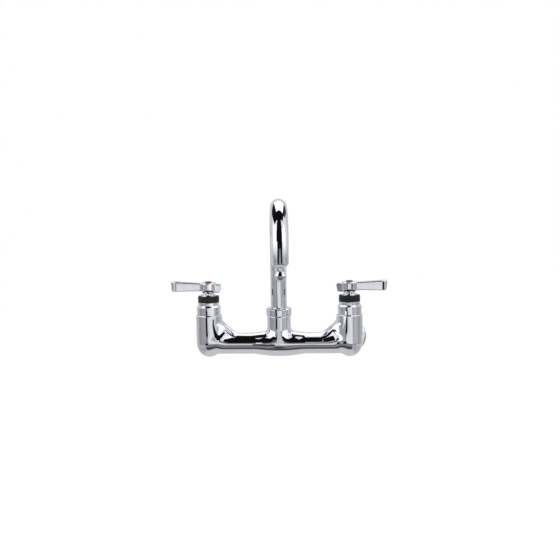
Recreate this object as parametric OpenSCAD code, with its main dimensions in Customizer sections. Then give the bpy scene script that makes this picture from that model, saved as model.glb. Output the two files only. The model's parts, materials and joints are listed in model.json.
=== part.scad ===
// Wall-mounted kitchen mixing faucet: one cast body on two wall inlets, two lever valves
// and a swinging gooseneck spout with an aerator.
// X runs along the wall, -Y points to the user and Z is up. The origin lies on the wall
// plane, midway between the two inlets. Heights named "rise" are above the crossbar's axis.

/* [Layout] */
// Distance between the two valve axes, and between the two wall inlets
valve_spacing = 203.2; // [196:0.1:216]
// Distance from the wall to the valve axes
wall_reach = 52; // [50:0.5:70]
// How far the crossbar's axis lies below the inlets' axis
bar_drop = 2; // [0:0.1:4]
// Swing of the resting spout towards the cold side, in degrees
spout_swing = 5.5; // [-10:0.5:10]
// Turn of the closed hot lever towards the user, in degrees
hot_lever_turn = 0; // [0:1:20]
// Turn of the closed cold lever towards the user, in degrees
cold_lever_turn = 4; // [0:1:20]

/* [Body casting] */
// Diameter of the two valve barrels
barrel_d = 37.6; // [36:0.1:42]
// Rise of the barrels' rims
barrel_rise = 42.2; // [40:0.1:50]
// Depth of the barrels' round bottoms below the bar's axis
barrel_drop = 19.5; // [18:0.1:24]
// Diameter of the crossbar
bar_d = 30.5; // [26:0.1:34]
// Largest diameter of the swelling in the middle of the bar
swell_d = 37.9; // [36:0.1:42]
// Length of that swelling along the bar
swell_len = 70; // [50:1:90]
// Diameter of the sloping webs between barrels and bar
web_d = 28; // [20:0.1:29]
// Rise at which a web's axis would meet the valve axis
web_rise = 30.6; // [28:0.1:34]
// Distance from the valve axis to the web's foot on the bar
web_run = 36.2; // [34:0.1:44]
// Diameter of the boss that carries the spout
boss_d = 34.2; // [32:0.1:37]
// Rise of the boss, where the swivel nut rests
boss_rise = 40.5; // [36:0.1:46]
// Diameter of the water passages
passage_d = 13; // [10:0.1:14]

/* [Inlets] */
// Diameter of the wall flanges
flange_d = 49.4; // [44:0.1:56]
// Thickness of the wall flanges
flange_h = 9; // [6:0.5:12]
// Radius of the supply pipe's female thread
supply_r = 9.6; // [9:0.1:10]
// Depth of that thread
supply_depth = 14; // [10:0.5:16]
// Width across the flats of the inlet coupling nuts
inlet_nut_af = 33; // [32:0.1:36]
// Length of the inlet coupling nuts
inlet_nut_len = 15; // [12:0.5:18]
// Diameter of the threaded tails behind the barrels
tail_thread_d = 27; // [25:0.1:28]

/* [Valves] */
// Step from the barrel's side in to the bonnet's
bonnet_step = 1.4; // [0.8:0.1:2]
// Height of a bonnet's straight part above the barrel's rim
bonnet_wall_h = 11.8; // [8:0.1:16]
// Height of the cone above it
bonnet_cone_h = 6.5; // [4:0.1:9]
// Diameter of the black rings
ring_d = 30.6; // [29:0.1:33]
// Height of the black rings
ring_h = 9.6; // [7:0.1:12]
// Diameter of the bonnet's neck inside the ring
neck_d = 24.4; // [22:0.1:26]
// Diameter of the valve stems
stem_d = 8; // [7:0.1:9]
// Diameter of the ceramic discs
disc_d = 17; // [16:0.1:18]
// Thickness of each ceramic disc
disc_h = 3; // [2.5:0.1:3.5]

/* [Handles] */
// Diameter of the handle's hub
hub_d = 22.4; // [20:0.1:26]
// Height of the hub
hub_h = 15.6; // [15:0.1:20]
// Gap between the bonnet's top and the hub
hub_gap = 1.4; // [0.5:0.1:3]
// Reach of the lever from the valve axis
lever_reach = 55; // [45:0.5:80]
// Height of the lever's middle above the hub's foot, at its tip
lever_tip_mid = 10.6; // [9:0.1:12]
// Height of the lever's middle above the hub's foot, at the hub
lever_root_mid = 9; // [8:0.1:11]
// Height of the stub's middle above the hub's foot
stub_mid = 7.3; // [7:0.1:9]
// Height of the lever's face at its tip
lever_tip_h = 14.8; // [10:0.1:16]
// Height of the lever's face at the hub
lever_root_h = 10; // [6:0.1:11]
// Width of the lever at its tip, seen from above
lever_tip_w = 14; // [10:0.1:18]
// Width of the lever at the hub, seen from above
lever_root_w = 10.5; // [8:0.1:12]
// Reach of the short stub opposite the lever
stub_reach = 19.4; // [16:0.1:24]
// Height of that stub
stub_h = 12; // [8:0.1:13]
// Diameter of the colour buttons
button_d = 9.6; // [8:0.1:10]

/* [Spout] */
// Diameter of the spout tube
tube_d = 23.4; // [20:0.1:24]
// Wall of the spout tube
tube_wall = 1.5; // [1.2:0.1:2]
// Reach from the swivel axis to the outlet axis
spout_reach = 88.9; // [80:0.1:130]
// Rise of the spout tube's highest point
spout_rise = 209.7; // [195:0.1:260]
// Rise of the lower end of the outlet leg
outlet_rise = 124.8; // [110:0.1:130]
// Diameter of the swivel nut
nut_d = 37.2; // [35:0.1:40]
// Height of the swivel nut
nut_h = 11.3; // [10:0.1:15]
// Depth of the spout's socket below the swivel nut's seat
socket_depth = 19; // [17:0.5:21]

/* [Aerator] */
// Height of the rounded lip at the outlet
lip_h = 4.8; // [3:0.1:6]
// Diameter of the knurled collar
collar_d = 14.8; // [14.6:0.1:18]
// Height of the knurled collar
collar_h = 5.8; // [4:0.1:8]
// Largest diameter of the nozzle
nozzle_d = 16.6; // [15:0.1:20]
// Height of the nozzle below the collar
nozzle_h = 13; // [10:0.1:18]
// Number of knurls round the collar
knurl_count = 24; // [18:1:28]

/* [Hidden] */
$fn = 96;

HOT = -1;
COLD = 1;
eps = 0.01;
half_turn = 180;

// Fits
run_gap = 0.05;         // radial clearance of a running or threaded fit
face_gap = 0.3;         // axial clearance between faces that turn on each other

// Body casting
barrel_r = barrel_d / 2;
bar_r = bar_d / 2;
rim_r = 1.2;            // rounding of the barrel's rim
side_curve_r = 26;      // curve of the barrel's side where it turns under
web_inset = 8.5;        // start of the web's round end beside the valve axis
web_slope = atan2(web_rise, web_run);
passage_r = passage_d / 2;
side_passage_r = passage_r - 0.4;
swell_sag = (swell_d - bar_d) / 2;
swell_curve_r = (pow(swell_len / 2, 2) + pow(swell_sag, 2)) / (2 * swell_sag);

// Valve chamber, from the seat upwards
seat_wall = 5;
orifice_r = 6;
lower_chamber_r = 9.5;
lower_chamber_drop = 10;
disc_r = disc_d / 2;
cartridge_wall = 2.5;
chamber_gap = 1;        // radial room round the cartridge in its chamber
cartridge_r = disc_r + cartridge_wall;
chamber_r = cartridge_r + chamber_gap;
ledge_w = 1.3;          // ledge in the barrel that carries the cartridge's flange
ledge_depth = 8.7;      // depth of that ledge below the barrel's rim
ledge_rise = barrel_rise - ledge_depth;
cartridge_flange_r = chamber_r + ledge_w;
thread_r = cartridge_flange_r + 0.2;
seal_h = 3;
glide_h = 0.9;
driver_h = 3.9;
cartridge_roof = 4.6;
floor_rise = ledge_rise - cartridge_roof - glide_h - driver_h - 2 * disc_h - seal_h
    - 2 * face_gap;
disc_rise = floor_rise + seal_h;
moving_disc_rise = disc_rise + disc_h + face_gap;
driver_rise = moving_disc_rise + disc_h;
glide_rise = driver_rise + driver_h + face_gap;
pocket_top = glide_rise + glide_h;
cartridge_flange_h = 3.4;
cartridge_oring_drop = 1.6;
cartridge_oring_rise = ledge_rise - cartridge_oring_drop;
port_r = 2.4;

// Bonnet, ring and handle levels
bonnet_d = barrel_d - 2 * bonnet_step;
shoulder_rise = barrel_rise + bonnet_wall_h;
ring_rise = shoulder_rise + bonnet_cone_h;
neck_r = neck_d / 2;
neck_over = 1.7;        // the neck's dome above the ring
bonnet_top = ring_rise + ring_h + neck_over;
bonnet_wall = 3.2;
gland_r = neck_r - bonnet_wall;
gland_roof = 4.8;       // bonnet's top wall over the gland
gland_top = bonnet_top - gland_roof;
hub_rise = bonnet_top + hub_gap;
hub_top = hub_rise + hub_h;
hub_r = hub_d / 2;
stem_r = stem_d / 2;
button_r = button_d / 2;
button_seat = 2;        // depth of the button's seat below the hub's top
button_proud = 2;       // height of the button above the hub's top
screw_well_h = 2.5;     // room for the screw's head under the button
screw_web_h = 3;        // metal that the screw clamps
screw_r = 2;
screw_head_r = 3.6;
screw_head_h = 2.3;
screw_len = 10;
well_floor = hub_top - button_seat - screw_well_h;
stem_top = well_floor - screw_web_h;
spline_count = 20;
spline_depth = 0.5;
spline_len = 8;

// O-rings: cross-section radius of the cord
oring_r = 1;
groove_w = 2.4;
stem_oring_r = 0.6;
stem_oring_deep = 8;
stem_oring_pitch = 6;

// Spout
tube_r = tube_d / 2;
bore_r = tube_r - tube_wall;
bend_r = spout_reach / 2;
bend_rise = spout_rise - tube_r - bend_r;
nut_top = boss_rise + nut_h;
nut_roof = 2.4;         // top wall of the swivel nut
socket_r = tube_r + run_gap;
collar_ledge = 2.4;     // room for snap ring and washer above the boss thread
boss_thread_r = tube_r + 2.7;
boss_thread_top = nut_top - nut_roof - collar_ledge;
snap_h = 1.2;
snap_floor_r = tube_r - 1; // floor of the snap ring's groove
snap_rise = boss_thread_top + face_gap;
swivel_washer_h = 0.6;
socket_floor = boss_rise - socket_depth;
base_foot = socket_floor + 0.5;
tube_foot = nut_top - 1.1;
spigot_h = 9;
spout_oring_low = 5;
spout_oring_high = 12;
base_bore_r = 7.5;

// Outlet and aerator
tip_spigot_h = 8;
tip_lip_r = tube_r - 2.4;
collar_r = collar_d / 2;
aerator_thread_r = 7;
aerator_thread_h = 6.4;
aerator_washer_h = 1.5;
collar_top = outlet_rise - lip_h - face_gap;
collar_foot = collar_top - collar_h;
nozzle_foot = collar_foot - nozzle_h;
nozzle_r = nozzle_d / 2;
nozzle_bore_r = 5.2;
nozzle_lip_r = 4.4;
nozzle_lip_h = 1.4;
insert_h = 8;
screen_h = 0.8;

// Inlets, measured back from the valve axis
tail_r = 15;
tail_len = 22;
tail_thread_len = 8;
tail_end = tail_len + tail_thread_len;
tail_thread_r = tail_thread_d / 2;
washer_h = 2;
shank_r = 11.5;
shank_collar_r = tail_thread_r - 0.6;
shank_collar_h = 3;
nut_start = tail_len + 1;
shank_bore_r = 7.2;

chrome = [0.82, 0.83, 0.85];
brass = [0.78, 0.62, 0.32];
rubber = [0.08, 0.08, 0.09];
black = [0.06, 0.06, 0.06];
ceramic = [0.93, 0.92, 0.88];
steel = [0.7, 0.7, 0.72];
nylon = [0.9, 0.9, 0.86];
red = [0.72, 0.06, 0.08];
blue = [0.08, 0.2, 0.6];

// Points of an arc round (x, z), from angle a0 to angle a1
function arc(x, z, r, a0, a1, steps = 10) =
    [for (k = [0:steps]) [x + r * cos(a0 + (a1 - a0) * k / steps),
                          z + r * sin(a0 + (a1 - a0) * k / steps)]];

module turned(points) rotate_extrude() polygon(points);

// A plain ring standing on height z
module ring(inner_r, outer_r, z, h) {
    translate([0, 0, z])
        difference() {
            cylinder(r = outer_r, h = h);
            translate([0, 0, -eps]) cylinder(r = inner_r, h = h + 2 * eps);
        }
}

// A hole or rod of radius r between two heights
module rod(r, z0, z1) translate([0, 0, z0]) cylinder(r = r, h = z1 - z0);

// O-ring whose inside touches radius inner_r
module oring(inner_r, z) {
    translate([0, 0, z])
        rotate_extrude() translate([inner_r + oring_r, 0]) circle(r = oring_r, $fn = 32);
}

// Groove for an O-ring, cut into a shaft of radius r
module groove(floor_r, r, z) ring(floor_r, r + 1, z - groove_w / 2, groove_w);

module at_swivel() translate([0, -wall_reach, -bar_drop]) children();
module at_valve(side) translate([side * valve_spacing / 2, -wall_reach, -bar_drop]) children();
// Along +Y from the valve axis towards the wall, at the inlets' height
module at_tail(side) {
    translate([side * valve_spacing / 2, -wall_reach, 0]) rotate([-90, 0, 0]) children();
}
// The spout and its parts, swung to rest
module at_spout() at_swivel() rotate([0, 0, spout_swing]) children();
// The handle and stem, turned to rest: the lever points away from the spout
module at_lever(side) {
    turn = side == HOT ? half_turn + hot_lever_turn : -cold_lever_turn;
    at_valve(side) rotate([0, 0, turn]) children();
}

// ---------------------------------------------------------------- body casting

// Barrel: straight wall, rounded rim, and a side curve that runs into a round bottom
module barrel_shape() {
    // The bottom is a ball that the side curve meets without an edge
    curve_x = barrel_r - side_curve_r;
    curve_z = 2.5;
    d = barrel_drop + curve_z;
    ball_r = (d * d + curve_x * curve_x - side_curve_r * side_curve_r)
        / (2 * (d - side_curve_r));
    ball_z = ball_r - barrel_drop;
    meet = atan2(ball_z - curve_z, -curve_x);
    turned(concat(
        [[0, -barrel_drop]],
        arc(0, ball_z, ball_r, -90, meet, 12),
        arc(curve_x, curve_z, side_curve_r, meet, 0, 16),
        arc(barrel_r - rim_r, barrel_rise - rim_r, rim_r, 0, 90, 6),
        [[0, barrel_rise]]));
}

// Bar between the barrels, with its swelling under the spout
module bar_shape() {
    rotate([0, 90, 0]) {
        cylinder(r = bar_r, h = valve_spacing, center = true);
        rotate_extrude()
            intersection() {
                translate([swell_d / 2 - swell_curve_r, 0]) circle(r = swell_curve_r, $fn = 360);
                translate([0, -swell_len / 2 - 2]) square([swell_d, swell_len + 4]);
            }
    }
}

// Round slopes that lead from the boss down to the bar on both sides
module boss_slopes() {
    slope_r = 12;
    high_x = 3;
    high_z = 18;
    for (side = [-1, 1])
        translate([side * high_x, 0, high_z])
            rotate([0, side * 135, 0]) {
                cylinder(r = slope_r, h = high_z * sqrt(2));
                sphere(r = slope_r);
                translate([0, 0, high_z * sqrt(2)]) sphere(r = slope_r);
            }
}

// Straight round run from a barrel down to the bar, seen from the valve axis
module web_run_shape(side, r) {
    start_z = web_rise - web_inset * tan(web_slope);
    span = norm([web_run - web_inset, start_z]);
    translate([-side * web_inset, 0, start_z])
        rotate([0, side * (-90 - web_slope), 0]) {
            cylinder(r = r, h = span);
            sphere(r = r);
            translate([0, 0, span]) sphere(r = r);
        }
}

// Everything that is hollow round one valve
module valve_bores(side) {
    rod(thread_r, ledge_rise, barrel_rise + 1);
    rod(chamber_r, floor_rise, ledge_rise + eps);
    rod(orifice_r, floor_rise - seat_wall - eps, floor_rise + eps);
    rod(lower_chamber_r, -lower_chamber_drop, floor_rise - seat_wall);
    web_run_shape(side, side_passage_r);
}

module body() {
    color(chrome)
    difference() {
        union() {
            at_swivel() {
                bar_shape();
                boss_slopes();
                rod(boss_d / 2, 0, boss_rise);
                rod(boss_thread_r, boss_rise - 1, boss_thread_top);
            }
            for (side = [HOT, COLD]) {
                at_valve(side) {
                    barrel_shape();
                    web_run_shape(side, web_d / 2);
                }
                at_tail(side) {
                    cylinder(r = tail_r, h = tail_len);
                    cylinder(r = tail_thread_r, h = tail_end);
                }
            }
        }
        at_swivel() {
            rod(socket_r, socket_floor, boss_thread_top + 1);
            rod(side_passage_r, 0, socket_floor + eps);
            rotate([0, 90, 0])
                cylinder(r = passage_r, h = valve_spacing - 2 * web_run, center = true);
        }
        for (side = [HOT, COLD]) {
            at_valve(side) valve_bores(side);
            at_tail(side) cylinder(r = shank_bore_r, h = tail_end + 1);
        }
    }
}

// ---------------------------------------------------------------- wall inlets

// Wall flange with its female pipe thread, and the shank that the coupling nut draws in
module inlet_flange(side) {
    face = tail_end + washer_h;
    edge_r = 3;
    r = flange_d / 2;
    color(chrome)
    at_tail(side)
        difference() {
            turned(concat(
                [[shank_bore_r, face], [shank_collar_r, face],
                 [shank_collar_r, face + shank_collar_h], [shank_r, face + shank_collar_h],
                 [shank_r, wall_reach - flange_h]],
                arc(r - edge_r, wall_reach - flange_h + edge_r, edge_r, -90, 0, 6),
                [[r, wall_reach], [shank_bore_r, wall_reach]]));
            translate([0, 0, wall_reach - supply_depth])
                cylinder(r = supply_r, h = supply_depth + 1);
        }
}

// Six-sided coupling nut over the tail's thread; its back wall holds the shank's collar
module inlet_nut(side) {
    collar_back = tail_end + washer_h + shank_collar_h;
    nut_len = max(inlet_nut_len, collar_back - nut_start + 3);
    color(chrome)
    at_tail(side)
        difference() {
            intersection() {
                translate([0, 0, nut_start])
                    rotate([0, 0, 30])
                    cylinder(d = inlet_nut_af / cos(30), h = nut_len, $fn = 6);
                // Chamfered corners at both ends
                turned([[0, nut_start], [inlet_nut_af / 2, nut_start],
                        [inlet_nut_af / 2 + 3, nut_start + 2],
                        [inlet_nut_af / 2 + 3, nut_start + nut_len - 2],
                        [inlet_nut_af / 2, nut_start + nut_len], [0, nut_start + nut_len]]);
            }
            rod(tail_thread_r + run_gap, nut_start - 1, collar_back);
            rod(shank_r + run_gap, nut_start, nut_start + nut_len + 1);
        }
}

module inlet_washer(side) {
    color(rubber)
    at_tail(side) ring(shank_bore_r, shank_collar_r, tail_end, washer_h);
}

// ---------------------------------------------------------------- valves, fixed parts

// Round bonnet: threaded skirt in the barrel, wall, cone, ring seat and domed neck
module bonnet(side) {
    dome_r = 2.6;
    skirt_foot = ledge_rise + cartridge_flange_h;
    color(chrome)
    at_valve(side)
        difference() {
            turned(concat(
                [[0, skirt_foot], [thread_r - run_gap, skirt_foot],
                 [thread_r - run_gap, barrel_rise], [bonnet_d / 2, barrel_rise],
                 [bonnet_d / 2, shoulder_rise], [ring_d / 2, ring_rise],
                 [neck_r, ring_rise]],
                arc(neck_r - dome_r, bonnet_top - dome_r, dome_r, 0, 90, 8),
                [[0, bonnet_top]]));
            rod(gland_r, skirt_foot - 1, gland_top);
            rod(stem_r + 0.6, skirt_foot, bonnet_top + 1);
        }
}

// Matte ring round the bonnet's neck, with a rounded top edge
module bonnet_ring(side) {
    top_edge = 2.2;
    low_edge = 0.5;
    r = ring_d / 2;
    inner = neck_r + run_gap;
    top = ring_rise + ring_h;
    color(black)
    at_valve(side)
        turned(concat(
            [[inner, ring_rise]],
            arc(r - low_edge, ring_rise + low_edge, low_edge, -90, 0, 4),
            arc(r - top_edge, top - top_edge, top_edge, 0, 90, 8),
            [[inner, top]]));
}

// Brass housing: skirt with four windows, clamped flange, and gland round the stem
module cartridge(side) {
    skirt_foot = floor_rise + 1;
    window_w = 8;
    window_h = driver_h - 0.6;
    color(brass)
    at_valve(side)
        difference() {
            union() {
                rod(cartridge_r, skirt_foot, ledge_rise + 1);
                rod(cartridge_flange_r, ledge_rise, ledge_rise + cartridge_flange_h);
                rod(gland_r - 0.2, ledge_rise, gland_top - 0.5);
            }
            rod(disc_r + 0.15, skirt_foot - 1, pocket_top);
            rod(stem_r + run_gap, skirt_foot, gland_top + 1);
            groove(cartridge_r - oring_r - run_gap, cartridge_r, cartridge_oring_rise);
            for (turn = [0, 90])
                rotate([0, 0, turn])
                    translate([-window_w / 2, -cartridge_r - 1, driver_rise + 0.3])
                    cube([window_w, 2 * cartridge_r + 2, window_h]);
        }
}

module cartridge_oring(side) {
    color(rubber)
    at_valve(side) oring(cartridge_r - oring_r, cartridge_oring_rise);
}

// Ceramic disc with its two ports, turned by an angle about the stem
module ceramic_disc(z, r, port_angle) {
    port_out = r - port_r - 1.6;
    color(ceramic)
    difference() {
        rod(r, z, z + disc_h);
        for (half = [0, half_turn])
            rotate([0, 0, port_angle + half])
                translate([port_out, 0, z - 1]) cylinder(r = port_r, h = disc_h + 2);
    }
}

module fixed_disc(side) at_lever(side) ceramic_disc(disc_rise, disc_r, 0);

module seat_seal(side) {
    color(rubber)
    at_valve(side) ring(orifice_r + 0.3, disc_r, floor_rise, seal_h);
}

// Slippery washer between the stem's driver and the cartridge's roof
module glide_washer(side) {
    color(nylon)
    at_valve(side) ring(stem_r + 0.15, disc_r, glide_rise, glide_h);
}

// ---------------------------------------------------------------- valves, turning parts

// Stem: driving bar between the moving disc's ports, O-ring grooves, splined and tapped top
module stem(side) {
    driver_w = 4.2;
    color(brass)
    at_lever(side)
        difference() {
            union() {
                intersection() {
                    rod(disc_r - 0.8, driver_rise, driver_rise + driver_h);
                    translate([-disc_r, -driver_w / 2, 0])
                        cube([2 * disc_r, driver_w, driver_rise + driver_h + 1]);
                }
                rod(stem_r - 1, driver_rise, driver_rise + driver_h);
                rod(stem_r, driver_rise + driver_h - 1, stem_top);
            }
            for (z = oring_levels()) stem_groove(z);
            for (k = [0:spline_count - 1])
                rotate([0, 0, k * 360 / spline_count])
                    translate([stem_r - spline_depth / 2, -spline_depth / 2,
                               stem_top - spline_len])
                    cube([spline_depth, spline_depth, spline_len + 1]);
            rod(screw_r, stem_top - screw_len, stem_top + 1);
        }
}

// Heights of the two stem O-rings, inside the cartridge's gland
function oring_levels() = [gland_top - stem_oring_deep - stem_oring_pitch, gland_top - stem_oring_deep];

module stem_groove(z) {
    stem_groove_depth = 1.2;
    ring(stem_r - stem_groove_depth, stem_r + 1, z - stem_oring_r - 0.2, 2 * stem_oring_r + 0.4);
}

module stem_orings(side) {
    color(rubber)
    at_lever(side)
        for (z = oring_levels())
            translate([0, 0, z])
                rotate_extrude()
                translate([stem_r - stem_oring_r, 0]) circle(r = stem_oring_r, $fn = 32);
}

module moving_disc(side) at_lever(side) ceramic_disc(moving_disc_rise, disc_r - 0.1, 90);

// A corner-rounded copy of a convex outline: each corner is cut back and curved
function unit(v) = v / norm(v);
function rounded(points, cut, steps = 5) =
    let(n = len(points))
    [for (i = [0:n - 1])
        let(p = points[i],
            from = p + cut * unit(points[(i + n - 1) % n] - p),
            to = p + cut * unit(points[(i + 1) % n] - p))
        each [for (k = [0:steps])
            let(t = k / steps) (1 - t) * (1 - t) * from + 2 * t * (1 - t) * p + t * t * to]];

// Blade along X between two ends [x, middle height, height, width], with a slanted tip.
// Its corners are cut back by side_cut in side view and by plan_cut seen from above
module blade(root, tip, slant, side_cut, plan_cut) {
    side_view = [[root[0], root[1] - root[2] / 2], [tip[0] - slant, tip[1] - tip[2] / 2],
                 [tip[0], tip[1] + tip[2] / 2], [root[0], root[1] + root[2] / 2]];
    top_view = [[root[0], -root[3] / 2], [tip[0], -tip[3] / 2],
                [tip[0], tip[3] / 2], [root[0], root[3] / 2]];
    depth = tip[3] + 2;
    foot = tip[1] - tip[2];
    intersection() {
        translate([0, depth / 2, 0])
            rotate([90, 0, 0]) linear_extrude(depth) polygon(rounded(side_view, side_cut));
        translate([0, 0, foot]) linear_extrude(2 * tip[2]) polygon(rounded(top_view, plan_cut));
    }
}

// Lever handle: bowl-shaped hub with a long lever and a short stub
module handle(side) {
    bowl_foot_r = 8;
    bowl_h = 5.2;
    root_z = hub_rise + lever_root_mid;
    tip_z = hub_rise + lever_tip_mid;
    stub_z = hub_rise + stub_mid;
    edge_r = 2;
    color(chrome)
    at_lever(side)
        difference() {
            union() {
                turned(concat(
                    [[0, hub_rise], [bowl_foot_r, hub_rise], [hub_r - 1, hub_rise + bowl_h - 1.6],
                     [hub_r, hub_rise + bowl_h]],
                    arc(hub_r - edge_r, hub_top - edge_r, edge_r, 0, 90, 6),
                    [[0, hub_top]]));
                blade([0, root_z, lever_root_h, lever_root_w],
                      [lever_reach, tip_z, lever_tip_h, lever_tip_w], 2.4, 3, 5);
                rotate([0, 0, half_turn])
                    blade([0, stub_z, stub_h, lever_root_w],
                          [stub_reach, stub_z, stub_h, lever_root_w], 2.6, 2.6, 3);
            }
            rod(stem_r + run_gap, hub_rise - 1, stem_top + face_gap);
            rod(screw_r + 0.2, hub_rise, hub_top);
            rod(screw_head_r + 0.6, well_floor, hub_top);
            rod(button_r + run_gap, hub_top - button_seat, hub_top + 1);
        }
}

// Pan-head screw that holds the handle on the stem
module handle_screw(side) {
    slot_w = 1;
    slot_depth = 1.1;
    color(steel)
    at_lever(side)
        difference() {
            union() {
                rod(screw_head_r, well_floor, well_floor + screw_head_h);
                rod(screw_r - run_gap, stem_top - screw_len + 1, well_floor + eps);
            }
            for (turn = [0, 90])
                rotate([0, 0, turn])
                    translate([-screw_head_r + 1, -slot_w / 2,
                               well_floor + screw_head_h - slot_depth])
                    cube([2 * screw_head_r - 2, slot_w, slot_depth + 1]);
        }
}

// Coloured button in the hub's top: red for hot, blue for cold
module index_button(side) {
    foot = hub_top - button_seat;
    top = hub_top + button_proud;
    dome_r = 1;
    color(side == HOT ? red : blue)
    at_lever(side)
        turned(concat(
            [[0, foot], [button_r, foot]],
            arc(button_r - dome_r, top - dome_r, dome_r, 0, 90, 6),
            [[0, top]]));
}

// ---------------------------------------------------------------- spout

// Swivel nut on the boss's thread, chamfered on top and under
module swivel_nut() {
    r = nut_d / 2;
    top_cut = 1.6;
    low_cut = 0.8;
    color(chrome)
    at_swivel()
        difference() {
            turned([[0, boss_rise], [r - low_cut, boss_rise], [r, boss_rise + low_cut],
                    [r, nut_top - top_cut], [r - top_cut, nut_top], [0, nut_top]]);
            rod(boss_thread_r + run_gap, boss_rise - 1, nut_top - nut_roof);
            rod(socket_r + run_gap, boss_rise, nut_top + 1);
        }
}

// Slippery washer under the nut's roof, against which the snap ring turns
module swivel_washer() {
    color(nylon)
    at_swivel()
        ring(socket_r + run_gap, boss_thread_r - 0.1,
             nut_top - nut_roof - swivel_washer_h, swivel_washer_h);
}

// One bent tube: riser, half-circle bend and outlet leg
module bent_rod(r, foot, outlet) {
    rod(r, foot, bend_rise);
    translate([0, -bend_r, bend_rise])
        rotate([90, 0, 90])
        rotate_extrude(angle = half_turn) translate([bend_r, 0]) circle(r = r);
    translate([0, -spout_reach, 0]) rod(r, outlet, bend_rise);
}

module spout_tube() {
    color(chrome)
    at_spout()
        difference() {
            bent_rod(tube_r, tube_foot, outlet_rise);
            bent_rod(bore_r, tube_foot - 1, outlet_rise - 1);
        }
}

// Turned swivel end of the spout: O-ring grooves, snap ring groove, spigot in the tube
module spout_base() {
    color(brass)
    at_spout()
        difference() {
            union() {
                rod(tube_r, base_foot, tube_foot);
                rod(bore_r - run_gap, tube_foot - 1, tube_foot + spigot_h);
            }
            rod(base_bore_r, base_foot - 1, tube_foot + spigot_h + 1);
            for (z = spout_oring_levels())
                groove(tube_r - 2 * oring_r, tube_r, z);
            ring(snap_floor_r, tube_r + 1, snap_rise, snap_h);
        }
}

function spout_oring_levels() = [base_foot + spout_oring_low, base_foot + spout_oring_high];

module spout_orings() {
    color(rubber)
    at_spout()
        for (z = spout_oring_levels()) oring(tube_r - 2 * oring_r, z);
}

// Split ring that keeps the spout from lifting out of the nut
module spout_snap_ring() {
    gap_w = 3;
    outer = boss_thread_r - 0.6;
    color(steel)
    at_spout()
        difference() {
            ring(snap_floor_r + run_gap, outer, snap_rise, snap_h);
            translate([-gap_w / 2, 0, snap_rise - 1]) cube([gap_w, outer + 1, snap_h + 2]);
        }
}

// ---------------------------------------------------------------- outlet and aerator

module at_outlet() at_spout() translate([0, -spout_reach, 0]) children();

// Turned end in the outlet leg: spigot, rounded lip and female thread
module outlet_tip() {
    throat_r = 5.4;
    lip_r = tube_r - tip_lip_r;
    washer_seat = collar_top + aerator_thread_h + aerator_washer_h;
    color(chrome)
    at_outlet()
        difference() {
            turned(concat(
                [[0, outlet_rise - lip_h], [tip_lip_r, outlet_rise - lip_h]],
                [for (k = [1:8]) [tip_lip_r + lip_r * sin(k * 90 / 8),
                                  outlet_rise - lip_h * cos(k * 90 / 8)]],
                [[bore_r - run_gap, outlet_rise], [bore_r - run_gap, outlet_rise + tip_spigot_h],
                 [0, outlet_rise + tip_spigot_h]]));
            rod(aerator_thread_r + run_gap, outlet_rise - lip_h - 1, washer_seat);
            rod(throat_r, outlet_rise, outlet_rise + tip_spigot_h + 1);
        }
}

// Aerator housing: threaded top, knurled collar and a nozzle that swells and tapers
module aerator_housing() {
    knurl_r = 0.55;
    neck = collar_r - 1;
    mouth_r = nozzle_r - 1.9;
    wide_z = nozzle_foot + nozzle_h * 0.47;
    color(chrome)
    at_outlet()
        difference() {
            union() {
                rod(aerator_thread_r, collar_top - 1, collar_top + aerator_thread_h);
                rod(collar_r - knurl_r, collar_foot, collar_top);
                for (k = [0:knurl_count - 1])
                    rotate([0, 0, k * 360 / knurl_count])
                        translate([collar_r - knurl_r, 0, collar_foot + 0.6])
                        rotate([0, 0, 45])
                        translate([-knurl_r, -knurl_r, 0])
                        cube([2 * knurl_r, 2 * knurl_r, collar_h - 1.2]);
                turned([[0, nozzle_foot], [mouth_r - 0.5, nozzle_foot],
                        [mouth_r, nozzle_foot + 0.6],
                        [nozzle_r - 0.6, wide_z - 3], [nozzle_r, wide_z],
                        [nozzle_r - 0.3, wide_z + 2.2], [neck, collar_foot - 1],
                        [neck, collar_foot + eps], [0, collar_foot + eps]]);
            }
            rod(nozzle_bore_r, nozzle_foot + nozzle_lip_h, collar_top + aerator_thread_h + 1);
            rod(nozzle_lip_r, nozzle_foot - 1, nozzle_foot + nozzle_lip_h + 1);
        }
}

// Plastic flow straightener: a plug with a ring of holes
module aerator_insert() {
    hole_r = 0.7;
    color(nylon)
    at_outlet()
        difference() {
            rod(nozzle_bore_r - run_gap, nozzle_foot + nozzle_lip_h,
                nozzle_foot + nozzle_lip_h + insert_h);
            for (row = [[6, 1.7], [12, 3.5]], k = [0:row[0] - 1])
                rotate([0, 0, k * 360 / row[0]])
                    translate([row[1], 0, nozzle_foot])
                    cylinder(r = hole_r, h = insert_h + 4);
        }
}

// Perforated strainer disc on top of the insert
module aerator_screen() {
    pitch = 1.5;
    z = nozzle_foot + nozzle_lip_h + insert_h;
    color(steel)
    at_outlet()
        difference() {
            rod(nozzle_bore_r - run_gap, z, z + screen_h);
            for (i = [-2:2], j = [-2:2])
                if (norm([i, j]) < 2.9)
                    translate([i * pitch, j * pitch, z - 1])
                        cylinder(r = 0.45, h = screen_h + 2);
        }
}

module aerator_washer() {
    color(rubber)
    at_outlet()
        ring(nozzle_bore_r + 0.2, aerator_thread_r - 0.1,
             collar_top + aerator_thread_h, aerator_washer_h);
}

// ---------------------------------------------------------------- nodes

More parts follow.
